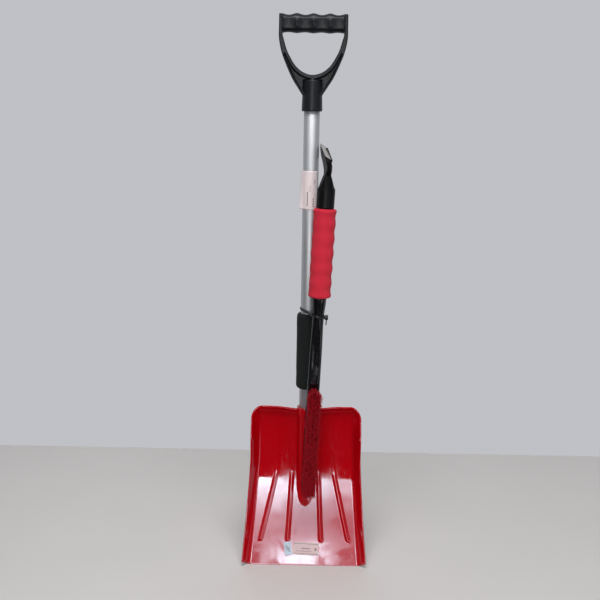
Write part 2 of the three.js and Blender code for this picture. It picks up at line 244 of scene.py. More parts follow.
class Graph:
    """A node tree with the few node recipes that the materials and the lights share."""

    def __init__(self, owner):
        owner.use_nodes = True
        self.nodes = owner.node_tree.nodes
        self.links = owner.node_tree.links

    def feed(self, socket, value):
        """Sets a socket to a number or colour, or links it to another node's output."""
        if isinstance(value, bpy.types.NodeSocket):
            self.links.new(value, socket)
        elif isinstance(value, tuple):
            socket.default_value = (*value, 1)
        else:
            socket.default_value = value

    def axes(self, vector):
        """The X, Y and Z of a vector."""
        node = self.nodes.new("ShaderNodeSeparateXYZ")
        self.links.new(vector, node.inputs["Vector"])
        return [node.outputs[axis] for axis in "XYZ"]

    def ranged(self, value, low, high, to_low=0.0, to_high=1.0, interpolation="LINEAR"):
        node = self.nodes.new("ShaderNodeMapRange")
        node.interpolation_type = interpolation
        for socket, number in zip(("From Min", "From Max", "To Min", "To Max"), (low, high, to_low, to_high)):
            node.inputs[socket].default_value = number
        self.links.new(value, node.inputs["Value"])
        return node.outputs["Result"]

    def eased(self, value, low, high):
        return self.ranged(value, low, high, interpolation="SMOOTHSTEP")

    def math(self, operation, a, b):
        node = self.nodes.new("ShaderNodeMath")
        node.operation = operation
        self.feed(node.inputs[0], a)
        self.feed(node.inputs[1], b)
        return node.outputs["Value"]

    def mixed(self, share, first, second):
        """Mixes two colours by share."""
        node = self.nodes.new("ShaderNodeMix")
        node.data_type = "RGBA"
        self.links.new(share, node.inputs["Factor"])
        self.feed(node.inputs["A"], first)
        self.feed(node.inputs["B"], second)
        return node.outputs["Result"]

    def ramp(self, value, stops):
        """Grey levels along a value, from (position, level) stops."""
        node = self.nodes.new("ShaderNodeValToRGB")
        node.color_ramp.interpolation = "EASE"
        while len(node.color_ramp.elements) < len(stops):
            node.color_ramp.elements.new(0.5)
        for element, (at, level) in zip(node.color_ramp.elements, stops):
            element.position = at
            element.color = (level, level, level, 1)
        self.links.new(value, node.inputs["Fac"])
        return node.outputs["Color"]


class Surface(Graph):
    """A Principled material, its patterns laid out in the object's own metres."""

    def __init__(self, name, colour, roughness, metallic=0.0, **sockets):
        self.material = bpy.data.materials.new(name)
        super().__init__(self.material)
        self.shader = self.nodes["Principled BSDF"]
        self.shader.inputs["Base Color"].default_value = (*colour, 1)
        self.shader.inputs["Roughness"].default_value = roughness
        self.shader.inputs["Metallic"].default_value = metallic
        for socket, value in sockets.items():
            self.shader.inputs[socket.replace("_", " ").title().replace("Ior", "IOR")].default_value = value
        self.where = self.nodes.new("ShaderNodeTexCoord").outputs["Object"]
        self.bump_normal = None

    def scaled(self, stretch):
        mapping = self.nodes.new("ShaderNodeMapping")
        mapping.inputs["Scale"].default_value = stretch
        self.links.new(self.where, mapping.inputs["Vector"])
        return mapping.outputs["Vector"]

    def noise(self, scale, detail=3.0, rough=0.5, stretch=(1, 1, 1), distortion=0.0):
        node = self.nodes.new("ShaderNodeTexNoise")
        node.inputs["Scale"].default_value = scale
        node.inputs["Detail"].default_value = detail
        node.inputs["Roughness"].default_value = rough
        node.inputs["Distortion"].default_value = distortion
        self.links.new(self.scaled(stretch), node.inputs["Vector"])
        return node.outputs["Fac"]

    def cells(self, scale, stretch=(1, 1, 1)):
        node = self.nodes.new("ShaderNodeTexVoronoi")
        node.inputs["Scale"].default_value = scale
        self.links.new(self.scaled(stretch), node.inputs["Vector"])
        return node.outputs["Distance"]

    def distance(self, spot):
        node = self.nodes.new("ShaderNodeVectorMath")
        node.operation = "DISTANCE"
        node.inputs[1].default_value = spot
        self.links.new(self.where, node.inputs[0])
        return node.outputs["Value"]

    def colour(self, share, first, second):
        """Mixes two colours by share into the base colour."""
        self.links.new(self.mixed(share, first, second), self.shader.inputs["Base Color"])
        return self

    def roughness(self, value):
        self.links.new(value, self.shader.inputs["Roughness"])
        return self

    def bump(self, height, strength, distance_mm):
        node = self.nodes.new("ShaderNodeBump")
        node.inputs["Strength"].default_value = strength
        node.inputs["Distance"].default_value = distance_mm * MM
        self.links.new(height, node.inputs["Height"])
        if self.bump_normal is not None:
            self.links.new(self.bump_normal, node.inputs["Normal"])
        self.bump_normal = node.outputs["Normal"]
        self.links.new(self.bump_normal, self.shader.inputs["Normal"])
        return self


def blade_plastic():
    s = Surface("blade_red_plastic", (0.38, 0.0, 0.004), 0.05, ior=1.75)
    s.shader.inputs["Specular Tint"].default_value = (0.66, 0.87, 1.0, 1)
    s.colour(s.noise(9, 2), (0.42, 0.0, 0.003), (0.37, 0.0, 0.004))
    scuffs = s.ranged(s.noise(22, 5, 0.65, (1, 1, 0.5)), 0.46, 0.78, 0.035, 0.16)
    scratches = s.ranged(s.noise(260, 2, 0.4, (1, 1, 0.05), 1.2), 0.63, 0.72, 0.0, 0.12)
    low = s.ranged(s.distance((0, -0.04, -1.02)), 0.08, 0.16, 1.0, 0.0)
    smudges = s.math("MULTIPLY", s.ranged(s.noise(17, 4, 0.6, distortion=1.5), 0.45, 0.65, 0.0, 0.2), low)
    worn = s.ranged(s.distance((0, -0.027, -0.936)), 0.008, 0.034, 0.16, 0.0)
    s.roughness(s.math("ADD", s.math("ADD", scuffs, scratches), s.math("ADD", smudges, worn)))
    s.bump(s.noise(60, 3), 0.12, 0.2)
    return s.bump(s.noise(14, 2), 0.25, 0.5).material


def moulded_black(name, colour, roughness, grain=1100, specular=0.45):
    s = Surface(name, colour, roughness)
    s.shader.inputs["Specular IOR Level"].default_value = specular
    lighter = tuple(1.4 * c + 0.0005 for c in colour)
    s.colour(s.ranged(s.noise(60, 4), 0.35, 0.8), colour, lighter)
    s.roughness(s.ranged(s.noise(120, 4), 0.3, 0.7, roughness - 0.03, roughness + 0.05))
    return s.bump(s.noise(grain, 1), 0.03, 0.02).material


def aluminium():
    s = Surface("satin_aluminium", (0.50, 0.51, 0.53), 0.5, metallic=0.85)
    s.colour(s.noise(3000, 2, 0.5, (1, 1, 0.004)), (0.44, 0.45, 0.47), (0.51, 0.52, 0.54))
    smears = s.noise(18, 3, 0.5, (1, 1, 0.35))
    s.roughness(s.ranged(smears, 0.3, 0.7, 0.5, 0.6))
    return s.bump(s.noise(2600, 2, 0.5, (1, 1, 0.004)), 0.05, 0.01).material


def foam(name, dark, light):
    s = Surface(name, light, 0.95, sheen_weight=0.02, sheen_roughness=0.6)
    s.shader.inputs["Specular IOR Level"].default_value = 0.2
    pores = s.cells(1500)
    patches = s.noise(60, 4, 0.6)
    share = s.math("MULTIPLY", s.ranged(pores, 0.1, 0.45), s.ranged(patches, 0.2, 0.7, 0.55, 1.0))
    s.colour(share, dark, light)
    s.roughness(s.ranged(pores, 0.0, 0.5, 0.99, 0.85))
    s.bump(s.noise(160, 3), 0.3, 0.5)
    return s.bump(pores, 0.5, 0.25).material


def bristle():
    s = Surface("bristle_red_nylon", (0.2, 0.003, 0.008), 0.45)
    s.shader.inputs["Specular IOR Level"].default_value = 0.2
    strands = s.ranged(s.noise(900, 2, 0.5, (1, 0.05, 1)), 0.3, 0.7)
    s.colour(strands, (0.22, 0.002, 0.008), (0.52, 0.006, 0.018))
    s.roughness(s.ranged(s.noise(400, 2), 0.3, 0.7, 0.5, 0.7))
    return s.bump(s.noise(3000, 1), 0.1, 0.03).material


def paper(name, colour, roughness=0.5):
    s = Surface(name, colour, roughness)
    s.colour(s.noise(50, 5, 0.6), tuple(0.93 * c for c in colour), tuple(min(1, 1.04 * c) for c in colour))
    s.roughness(s.ranged(s.noise(400, 3), 0.3, 0.7, roughness - 0.08, roughness + 0.12))
    return s.bump(s.noise(260, 3), 0.12, 0.15).material


def zinc():
    s = Surface("zinc_plated_steel", (0.5, 0.5, 0.52), 0.35, metallic=1.0)
    s.colour(s.noise(700, 4), (0.42, 0.42, 0.43), (0.6, 0.6, 0.62))
    s.roughness(s.ranged(s.noise(900, 3), 0.3, 0.7, 0.25, 0.45))
    return s.bump(s.noise(2500, 2), 0.1, 0.03).material


RED_PLASTIC = blade_plastic()
GRIP_BLACK = moulded_black("grip_black_plastic", (0.007, 0.0075, 0.010), 0.38, specular=0.23)
TOOL_BLACK = moulded_black("tool_black_plastic", (0.003, 0.003, 0.004), 0.15, 1600, 0.55)
SCRAPER_BLACK = moulded_black("scraper_black_plastic", (0.003, 0.003, 0.0035), 0.42, specular=0.12)
# Light grey painted highlight for the scraper's upward-facing bevel, as if light fell on it from above.
EDGE_HIGHLIGHT_GREY = moulded_black("painted_highlight_edge", (0.22, 0.21, 0.20), 0.4)
TIE_BLACK = moulded_black("tie_black_nylon", (0.004, 0.004, 0.005), 0.38, 2200)
ALUMINIUM = aluminium()
FOAM_BLACK = foam("black_foam", (0.002, 0.0025, 0.0025), (0.008, 0.010, 0.010))
FOAM_RED = foam("red_foam", (0.40, 0.011, 0.025), (0.53, 0.019, 0.04))
BRISTLE_RED = bristle()
PAPER = paper("blank_paper", (0.69, 0.59, 0.60))
STICKER_PAPER = paper("worn_sticker_paper", (0.57, 0.41, 0.41), 0.4)
PATCH_BLUE = paper("blue_film", (0.41, 0.49, 0.57), 0.35)
PRINT_GREY = paper("plain_grey_print", (0.10, 0.09, 0.10), 0.5)
ZINC = zinc()


# ------------------------------------------------------------------ blade

LENGTH, THICK = 311.0, 3.0
TIP = height_span("blade")[0]
TOP = TIP + LENGTH
HALF_TOP, FLARE, FLARE_FROM = 110.5, 15.2, -835
CORNER, SHOULDER = 24.0, 6  # the top corners' radius, and how much higher the top edge is near them
TRIM_BAND, TRIM_RISE = 22, 12  # how the bottom corners are cut back
BACK_TOP, REACH, CURVE = 7, 82, 2.26  # y at the top, and how the pan comes forward towards its tip
WALL_BAND, WALL_TOP, WALL_LOST, WALL_START, WALL_GROWN = 16.0, 34, 18, 0.4, 70
LIP_BAND, LIP = 24.0, 10.5
RIB_HALF, RIB_HEIGHT, RIB_END, RIB_BEND_FROM = 5.7, 2.9, -1001, -850
OUTER_RIB, INNER_RIB = (57, 33), (27, 7)  # place at the top, and how far it splays towards the tip
SOCKET_R, BORE_END = 18.2, -903
NOSE_Z, NOSE_HIGH, NOSE_HALF, NOSE_ABOVE, NOSE_BELOW = -915, 5.0, 15.0, 40, 26
TUBE_R, FIT = 15.0, 0.25


def half_width(z):
    """The blade's half width, parallel at the top and splayed lower down."""
    down = np.maximum(0, (FLARE_FROM - z) / (FLARE_FROM - TIP))
    return HALF_TOP + FLARE * down**1.15


def top_edge(x):
    """Height of the top edge, a little lower in the middle."""
    return TOP + SHOULDER * smooth(np.abs(x), 0, 70)


def bottom_edge(x, z):
    """Height of the cutting edge, whose corners are cut back."""
    inward = np.clip((half_width(z) - np.abs(x)) / TRIM_BAND, 0, 1)
    return TIP + TRIM_RISE * (1 - inward) ** 2


def rib_splay(z):
    """0 above the ribs' bend, 1 at 150 mm below it."""
    return np.maximum(0, (RIB_BEND_FROM - z) / 150) ** 1.2


def ribs(x, z):
    """Height of the four pressed ribs: steep flanks, a narrow round crest and a round lower end."""
    height = np.zeros_like(x)
    for (start, splay), top, fade in ((OUTER_RIB, -742, 60), (INNER_RIB, -795, 50)):
        centre = start + splay * rib_splay(z)
        past = np.maximum(0, RIB_END - z)
        apart = np.clip(np.hypot(np.abs(x) - centre, past) / RIB_HALF, 0, 1)
        shape = (1.08 - np.sqrt(apart**2 + 0.0064)) * smooth(1 - apart, 0, 0.3)
        grown = 0.22 * smooth(-z, -top, -top + fade) + 0.78 * smooth(-z, 868, 900)
        height = np.maximum(height, RIB_HEIGHT * shape * grown)
    return height


def pan(x, z):
    """y of the blade's front surface without the socket's ridge."""
    down = np.clip((TOP - z) / LENGTH, 0, 1.1)
    back = BACK_TOP - REACH * down**CURVE
    in_side = np.clip((half_width(z) - np.abs(x)) / WALL_BAND, -0.1, 1)
    in_top = np.clip((top_edge(x) - z) / LIP_BAND, 0, 1)
    grown = WALL_START + (1 - WALL_START) * smooth(top_edge(x) - z, 0, WALL_GROWN)
    wall = (WALL_TOP - WALL_LOST * down) * grown * (1 - in_side) ** 1.6
    return back - wall - LIP * (1 - in_top) ** 2.2 - ribs(x, z)


def nose(x, z):
    """Height of the rounded nose that ends the socket's ridge and fades out into the blade."""
    reach = (z - NOSE_Z) / np.where(z > NOSE_Z, NOSE_ABOVE, NOSE_BELOW)
    return NOSE_HIGH * np.maximum(0, 1 - (x / NOSE_HALF) ** 2 - reach**2) ** 1.4


def blend_min(a, b, width):
    """The lower of a and b, with a fillet of that width where they meet."""
    share = np.clip(0.5 + 0.5 * (b - a) / width, 0, 1)
    return b * (1 - share) + a * share - width * share * (1 - share)


def blade_columns(half, z):
    """Positions across one half of the blade. They follow the ribs, and are close together on them."""
    spans = ((0, 20, 17), (20, 34, 22), (34, 50, 8), (50, 64, 22), (64, 90.5, 12))
    flat = np.concatenate([[0]] + [np.linspace(a, b, n + 1)[1:] for a, b, n in spans])
    last, edge = flat[-1], half - 21
    if edge < last - 1.5:
        moved = flat * edge / last
    else:
        inner, outer = (start + splay * rib_splay(z) for start, splay in (INNER_RIB, OUTER_RIB))
        marks = (0, INNER_RIB[0], OUTER_RIB[0], last)
        moved = np.interp(flat, marks, (0, inner, outer, max(edge, outer + 1)))
    return np.concatenate([moved, np.linspace(moved[-1], half, 17)[1:]])


def blade_rows():
    """(drop below the top edge, half width there) for each row of the blade's grid."""
    rows = []
    for turn in np.linspace(0, math.pi / 2, 14):
        rows.append((CORNER * (1 - math.cos(turn)), HALF_TOP - CORNER * (1 - math.sin(turn))))
    side_top, side_end = TOP + SHOULDER, TIP + TRIM_RISE
    for drop in np.linspace(CORNER, LENGTH, 150)[1:]:
        rows.append((drop, float(half_width(side_top - drop / LENGTH * (side_top - side_end)))))
    return rows


def blade_shell():
    """The front and back surfaces of the blade, as two grids of points with the same layout."""
    front, back = [], []
    step = 0.3
    for drop, half in blade_rows():
        right = blade_columns(half, TOP - drop)
        x = np.concatenate([-right[:0:-1], right])
        top = top_edge(x)
        z = top - drop / LENGTH * (top - bottom_edge(x, TOP - drop))
        y = pan(x, z)
        ridge = np.where(np.abs(x) < SOCKET_R, -np.sqrt(np.maximum(SOCKET_R**2 - x**2, 0)), 40)
        bump = nose(x, z)
        fillet = 4 + 5 * smooth(-z, 880, 900)
        y_front = blend_min(blend_min(y, ridge, fillet), y - bump, np.clip(bump, 0.01, 1.5))
        front.append(np.column_stack([x, y_front, z]))
        slope_x = (pan(x + step, z) - pan(x - step, z)) / (2 * step)
        slope_z = (pan(x, z + step) - pan(x, z - step)) / (2 * step)
        size = np.sqrt(slope_x**2 + slope_z**2 + 1)
        behind = np.column_stack([x - THICK * slope_x / size, y + THICK / size, z - THICK * slope_z / size])
        behind[:, 1] += socket_back(*behind.T)
        back.append(behind)
    return np.array(front), np.array(back)


def socket_back(x, y, z):
    """How far the blade's back stands out behind y, where the socket for the shaft is."""
    inside = np.clip(np.abs(x) / SOCKET_R, 0, 1)
    room = np.where(z > NOSE_Z + 1, SOCKET_R - y, 0) * smooth(z, -922, -906)
    return np.maximum(room, 0) * (1 - inside**3) ** 0.5 * (np.abs(x) < SOCKET_R)


ROUND_RIM = ((0.12, 0.55), (0.35, 1.05), (0.65, 1.05), (0.88, 0.55))  # share of the way back, mm outwards


def closed_sheet(front, back, rim_profile=()):
    """A closed shell between two grids of points, with a plain rim or one that the profile rounds."""
    rows, columns = front.shape[:2]
    points = np.vstack([front.reshape(-1, 3), back.reshape(-1, 3)]).tolist()
    count = rows * columns
    faces = []
    for i in range(rows - 1):
        for j in range(columns - 1):
            a = i * columns + j
            quad = [a, a + 1, a + columns + 1, a + columns]
            faces.append(quad)
            faces.append([k + count for k in reversed(quad)])
    rim = [(0, j) for j in range(columns)] + [(i, columns - 1) for i in range(1, rows)]
    rim += [(rows - 1, j) for j in range(columns - 2, -1, -1)] + [(i, 0) for i in range(rows - 2, 0, -1)]
    loops = [[i * columns + j for i, j in rim]]
    for share, out in rim_profile:
        loop = []
        for i, j in rim:
            inner = front[min(max(i, 1), rows - 2), min(max(j, 1), columns - 2)]
            outward = front[i, j] - inner
            outward = outward / max(np.linalg.norm(outward), 1e-6)
            loop.append(len(points))
            points.append((front[i, j] + (back[i, j] - front[i, j]) * share + outward * out).tolist())
        loops.append(loop)
    loops.append([k + count for k in loops[0]])
    for here, there in zip(loops, loops[1:]):
        for k in range(len(rim)):
            n = (k + 1) % len(rim)
            faces.append([here[k], here[n], there[n], there[k]])
    return points, faces


def make_blade():
    """The scoop with its collar, bored for the shaft."""
    blade = add_object("scoop_blade", *closed_sheet(*blade_shell(), ROUND_RIM))
    join(blade, turned(rounded_profile(12, 19.2, -748, -728, 1.6), closed=True))
    cut(blade, turned([(TUBE_R + FIT, BORE_END), (TUBE_R + FIT, -700)]))
    return settle(blade, RED_PLASTIC, "shovel", "blade_red", "blade")


# ------------------------------------------------------------------ D-grip

GRIP_OUTER = [(62.6, 31.6), (62.8, 10), (62.6, -12), (57.5, -36), (48.5, -59), (38, -81), (27, -98),
              (18.4, -111)]
GRIP_INNER = [(56.7, 31.6), (56.7, 0), (54, -12), (48.5, -30), (41.5, -44), (31.5, -59), (17.5, -70),
              (0, -74.5)]
GRIP_SOCKET = [(0.01, -139.8), (18.6, -139.8), (19.6, -138.6), (18.9, -118), (17.9, -90), (17.6, -84.6),
               (16.9, -83.6), (15.6, -83.2), (0.01, -83.1)]
GRIP_DEPTH, FLANGE, WEB = 15.0, 3.2, 4.6  # half the depth, the outer flange, half the web
BAR_HALF, BAR_Z, BAR_DEEP, BAR_HIGH = 58.5, 16.4, 15.8, 17.6
FINGER_PITCH, FINGER_DEEP = 30.3, 3.2
BAR_FLAT, BAR_EASE = -12.0, 1.2  # y of the hollows' flat front, and how softly it is reached


def mirrored(line):
    """A line of (x, z) on the other side of x = 0."""
    return np.column_stack([-line[:, 0], line[:, 1]])


def grip_bar(columns=130, sides=80):
    """The crossbar: an oval in section, with four finger hollows, flat down the front of each."""
    rings = []
    for i in range(columns + 1):
        x = BAR_HALF * (2 * i / columns - 1)
        scoop = abs(math.sin(math.pi * x / FINGER_PITCH))
        hollow, dip = scoop**0.8, scoop**1.5
        ring = []
        for j in range(sides):
            a = TAU * j / sides
            back, up = math.cos(a), math.sin(a)
            y, z = BAR_DEEP * back, BAR_HIGH * up
            flat = BAR_FLAT - 0.15 * BAR_EASE * math.log1p(math.exp((BAR_FLAT - y) / BAR_EASE))
            y += hollow * (max(y, flat) - y)
            z -= dip * (FINGER_DEEP * smooth(up, 0.2, 0.8) - FINGER_DEEP / 2 * smooth(-up, 0.2, 0.8))
            ring.append((x, y, BAR_Z + z))
        rings.append(ring)
    return skin(rings)


def make_grip():
    """The D-grip: crossbar, one arched inner flange, an outer flange and a web each side, and a socket."""
    outer = curve_points(GRIP_OUTER, 70)
    arch = curve_points(GRIP_INNER + [(-x, z) for x, z in GRIP_INNER[-2::-1]], 140)
    thick = 5.6 + 1.9 * (1 - np.abs(np.linspace(-1, 1, len(arch))[:, None])) ** 2
    flange = np.vstack([outer, offset(outer, -FLANGE)[::-1]])
    web = np.vstack([offset(outer, -1), offset(arch[:len(arch) // 2 + 1], 1)[::-1]])
    parts = [grip_bar(), prism(np.vstack([arch, offset(arch, thick)[::-1]]), -GRIP_DEPTH, GRIP_DEPTH)]
    for outline in (flange, mirrored(flange)):
        parts.append(prism(outline, -GRIP_DEPTH, GRIP_DEPTH))
    for outline in (web, mirrored(web)):
        parts.append(prism(outline, -WEB, WEB))
    parts.append(turned(GRIP_SOCKET))
    grip = add_object("d_grip_moulding", *combine(*parts))
    fuse(grip, 0.85, 12)
    cut(grip, turned([(TUBE_R + FIT, -150), (TUBE_R + FIT, -93.5)]))
    return settle(grip, GRIP_BLACK, "shovel", "grip_black", "d_grip")


# ------------------------------------------------------------------ shaft, foam, label, screws


def make_tube():
    """The shaft, its outer edges just broken."""
    profile = rounded_profile(TUBE_R - 1.2, TUBE_R, *height_span("shaft_tube"), 0.3, steps=1)
    tube = add_object("aluminium_shaft", *turned(profile, 128, closed=True))
    return settle(tube, ALUMINIUM, "shovel", "shaft_aluminium", "shaft_tube")


def lumpy(points, amount, size):
    """Moves points a little along their own direction from the Z axis, as soft foam isn't quite true."""
    out = []
    for x, y, z in points:
        radius = math.hypot(x, y) or 1
        push = amount * noise.noise(Vector((x, y, z)) / size)
        out.append((x + x / radius * push, y + y / radius * push, z))
    return out


def make_shaft_foam():
    """The black foam sleeve on the lower shaft."""
    profile = rounded_profile(TUBE_R + 0.15, 22.2, *height_span("shaft_foam_grip"), 6.5, steps=8, rows=60)
    points, faces = turned(profile, 80, closed=True)
    foam_grip = add_object("shaft_foam_sleeve", lumpy(points, 0.35, 18), faces)
    settle(foam_grip, FOAM_BLACK, "shovel", "foam_black", "shaft_foam_grip")
    return foam_grip


def make_screw(name, node, body, seat, place=None):
    """A pan-head screw that enters from the back, its head's seat at y = seat of its place.

    Without a place, it is on the shaft's axis at its CAD node's height.
    """
    point = [(0.01, -9), (1.2, -8.6), (2.0, -6.5)]
    thread = [(2.0 + 0.35 * (i % 2), -6 + 0.5 * i) for i in range(12)]
    head = [(2.0, 0), (3.6, 0), (4.0, 0.4), (3.9, 1.2), (3.2, 2.0), (1.8, 2.4), (0.01, 2.5)]
    if place is None:
        place = Matrix.Translation((0, 0, sum(height_span(node)) / 2))
    to_back = place @ Matrix.Translation((0, seat + 0.3, 0)) @ Matrix.Rotation(-math.pi / 2, 4, "X")
    screw = add_object(name, *turned(point + thread + head, 40), place=to_back)
    for slot in ((4.6, 0.9, 2.2), (0.9, 4.6, 2.2)):
        cut(screw, block((0, 0, 2.6), slot), to_back)
    return settle(screw, ZINC, body, "screw_steel", node)


def dashes(count, first, step):
    """Evenly spaced dashes, each as its (left, right, top, bottom) shares of a sheet."""
    return [tuple(a + k * b for a, b in zip(first, step)) for k in range(count)]


def make_label():
    """A paper label round the front of the shaft, its left edge loose and its lower corner curling out."""
    width, height, radius, front, slope = 38.0, 73.0, TUBE_R + 0.2, 0.62, 0.03

    def spot(across, down):
        along = (across - front) * width
        turn = along / radius
        free = max(0.0, -turn - 0.95 - 0.12 * (1 - down))
        stuck = turn + free
        outward = Vector((math.sin(stuck), -math.cos(stuck), 0))
        lift = free * radius
        hang = stuck + 0.15 + 0.35 * down**2
        point = outward * radius - Vector((math.cos(hang), math.sin(hang), 0)) * lift
        point.z = -249.5 - down * height - along * slope
        return point, outward

    marks = dashes(2, (0.80, 0.86, 0.22, 0.245), (0, 0, 0.05, 0.05))
    marks += dashes(3, (0.58, 0.61, 0.38, 0.415), (0, 0, 0.06, 0.06))
    marks += dashes(6, (0.44, 0.49, 0.54, 0.59), (0, 0, 0.062, 0.062))
    marks += dashes(4, (0.74, 0.79, 0.70, 0.745), (0, 0, 0.062, 0.062))
    return sheet("paper_label", spot, (60, 40), marks, PAPER, "paper", "shaft_label")


def sheet(name, spot, grid, marks, material, slot, node, thick=0.14):
    """A thin sheet on the surface spot(across, down), with plain printed dashes laid on it."""
    layers = [((0, 1, 0, 1), grid, (thick, 0))]
    layers += [(mark, (5, 3), (thick + 0.08, thick - 0.04)) for mark in marks]
    shapes = []
    for (left, right, top, bottom), (columns, rows), levels in layers:
        sides = []
        for level in levels:
            lines = []
            for down in np.linspace(top, bottom, rows + 1):
                spots = [spot(across, down) for across in np.linspace(left, right, columns + 1)]
                lines.append([tuple(point + outward * level) for point, outward in spots])
            sides.append(np.array(lines))
        shapes.append(closed_sheet(*sides))
    piece = add_object(name, *combine(*shapes))
    settle(piece, material, "shovel", slot, node)
    piece.data.materials.append(PRINT_GREY)
    for face in piece.data.polygons[len(shapes[0][1]):]:
        face.material_index = 1
    return piece


def make_sticker(name, node, material, slot, size, middle, tilt, marks):
    """A thin sheet on the blade, one corner lifting a little."""
    c, s = math.cos(math.radians(tilt)), math.sin(math.radians(tilt))
    lift, corner_lift = 0.35, 1.4

    def spot(across, down):
        u, v = (across - 0.5) * size[0], (0.5 - down) * size[1]
        x, z = middle[0] + u * c + v * s, middle[1] - u * s + v * c
        y = float(pan(np.array([x]), np.array([z]))[0])
        curl = corner_lift * max(0, across - 0.86) / 0.14 * max(0, down - 0.6)
        return Vector((x, y - lift - curl, z)), Vector((0, -1, 0))

    return sheet(name, spot, (40, 20), marks, material, slot, node)


# ------------------------------------------------------------------ brush and scraper

BRUSH_TOP, BRUSH_LOW = Vector((29, -28, -300)), Vector((3, -36, -905))  # two points on its twist axis
BRUSH_AXIS = (BRUSH_TOP - BRUSH_LOW).normalized()
BRUSH_ROLL, HEAD_TURN = math.radians(9), math.radians(-5)
BRUSH_LEAN = Vector((0, 0, 1)).rotation_difference(BRUSH_AXIS).to_matrix().to_4x4()
BRUSH = Matrix.Translation(BRUSH_TOP) @ BRUSH_LEAN @ Matrix.Rotation(BRUSH_ROLL, 4, "Z")
HEAD = BRUSH @ Matrix.Rotation(HEAD_TURN, 4, "Z")
HANDLE_BORE = 8.15

HEAD_SECTIONS = [  # height, half width, half depth
    (-191.5, 14.3, 13.3), (-204, 14, 12.6), (-216, 12.6, 11.6), (-227, 11.7, 11), (-240, 11.5, 10.6),
    (-270, 12, 10.2), (-300, 12.5, 10), (-380, 12.8, 9.8), (-590, 11.8, 9.4), (-604, 10.6, 8.6), (-611, 8, 7),
    (-614, 4.6, 4.2)]
BRISTLE_FACE, BRISTLE_TOP, BRISTLE_LOW = 8.2, -371.5, -590.0


def make_brush_foam():
    """The red foam grip, with finger waves down its right side."""
    top, bottom, radius, round_by, waves, wave_high = -18.0, -189.8, 20.5, 5.0, 6, 1.7
    rows, sides = 110, 80
    rings = []
    for i in range(rows + 1):
        t = i / rows
        z = bottom + t * (top - bottom)
        from_end = min(z - bottom, top - z, round_by) / round_by
        shoulder = round_by * (1 - math.sqrt(max(0, 1 - (1 - from_end) ** 2)))
        flare = 0.9 * math.exp(-((top - z) / 14) ** 2) + 0.9 * math.exp(-((z - bottom) / 16) ** 2)
        wave = wave_high * (0.5 + 0.5 * math.cos(TAU * waves * t))
        ring = []
        for j in range(sides):
            a = TAU * j / sides
            r = radius + wave * (0.5 + 0.5 * max(0, math.cos(a)) ** 0.7) + flare - shoulder
            ring.append((r * math.cos(a), r * math.sin(a), z))
        rings.append(ring)
    bore = HANDLE_BORE + 0.15
    rings += [[(bore * math.cos(TAU * j / sides), bore * math.sin(TAU * j / sides), z) for j in range(sides)]
              for z in (top, bottom)]
    points, faces = skin(rings, closed_path=True)
    grip = add_object("red_foam_grip", lumpy(points, 0.3, 14), faces, place=BRUSH)
    settle(grip, FOAM_RED, "brush", "foam_red", "brush_foam_grip")
    return grip


def squared(a, power):
    """The cosine and sine of an angle, pushed out from an ellipse's towards a rectangle's."""
    return [math.copysign(abs(value) ** power, value) for value in (math.cos(a), math.sin(a))]


def make_brush_head():
    """The black brush bar: round neck, then an oval bar with a hollow down its front between two rails."""
    heights = np.concatenate([np.linspace(-191.5, -300, 80), np.linspace(-300, -600, 150)[1:],
                              np.linspace(-600, -614, 16)[1:]])
    table = np.array(HEAD_SECTIONS)[::-1]
    sides = 96
    rings = []
    for z in heights:
        near = np.clip(z + np.linspace(-9, 9, 7), -614, -191.5) if z > -590 else z
        width, depth = (np.interp(near, table[:, 0], table[:, k]).mean() for k in (1, 2))
        power = 2 / (2 + smooth(-z, 235, 320))
        groove = 3.0 * smooth(-z, 235, 300) * smooth(z, -372, -318)
        bristle_flat = smooth(-z, 366, 371) * smooth(z, -609, -600)
        ring = []
        for j in range(sides):
            across, out = squared(TAU * j / sides, power)
            x, y = width * across, depth * out
            if y < 0:
                y += groove * math.exp(-abs(x / 7.4) ** 3)
                y += (max(y, -BRISTLE_FACE) - y) * bristle_flat
            ring.append((x, y, z))
        rings.append(ring)
    head = add_object("brush_bar", *skin(rings), place=HEAD)
    dimple_at = HEAD @ Matrix.Translation((0, -8.2, -353)) @ Matrix.Rotation(math.pi / 2, 4, "X")
    cut(head, turned([(1.2, -1.2), (1.2, 3)], 32), dimple_at)
    cut(head, turned([(HANDLE_BORE, -212.3), (HANDLE_BORE, -180)], 64), BRUSH)
    return settle(head, TOOL_BLACK, "brush", "tool_black", "brush_head")


def filament(base, fan, bend, phase):
    """One thin three-sided filament from base along fan, bent and a little wavy."""
    rings = []
    for step in range(5):
        t = step / 4
        wave = 0.35 * t * Vector((math.sin(phase + 5 * t), 0, math.cos(phase + 5 * t)))
        spot = base + fan * t + bend * (t * t) + wave
        thick = 0.38 * (1 - 0.3 * t)
        turns = [TAU * corner / 3 + phase for corner in range(3)]
        rings.append([(spot.x + thick * math.cos(b), spot.y, spot.z + thick * math.sin(b)) for b in turns])
    return skin(rings)


